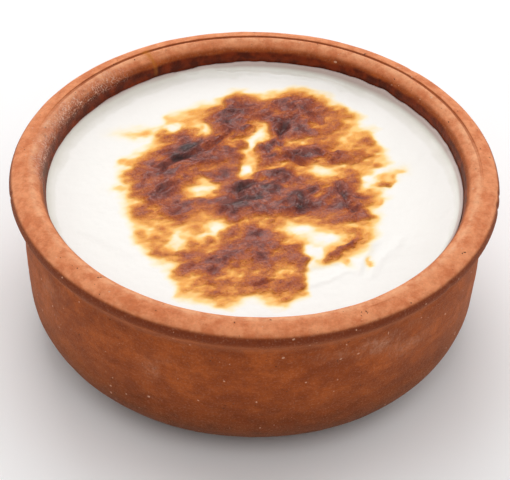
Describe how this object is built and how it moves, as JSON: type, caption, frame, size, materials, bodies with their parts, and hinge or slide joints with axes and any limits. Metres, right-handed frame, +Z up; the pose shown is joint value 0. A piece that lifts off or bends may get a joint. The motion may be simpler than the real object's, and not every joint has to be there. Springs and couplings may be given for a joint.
{
  "type": "rice pudding in a bowl",
  "caption": "Baked rice pudding with a browned skin, set in a small round terracotta bowl with a turned-out lip and a flat foot.",
  "frame": {"origin": "on the surface the bowl stands on, under the middle of its rim", "axes": "+Z up, out of the bowl; +X to the right and +Y to the back as the dish is usually seen"},
  "size_m": [0.1204, 0.1196, 0.0468],
  "materials": {
    "terracotta": "matte",
    "baked_milk": "satin"
  },
  "bodies": {
    "root": {"bowl": "terracotta", "pudding": "baked_milk"}
  },
  "joints": []
}
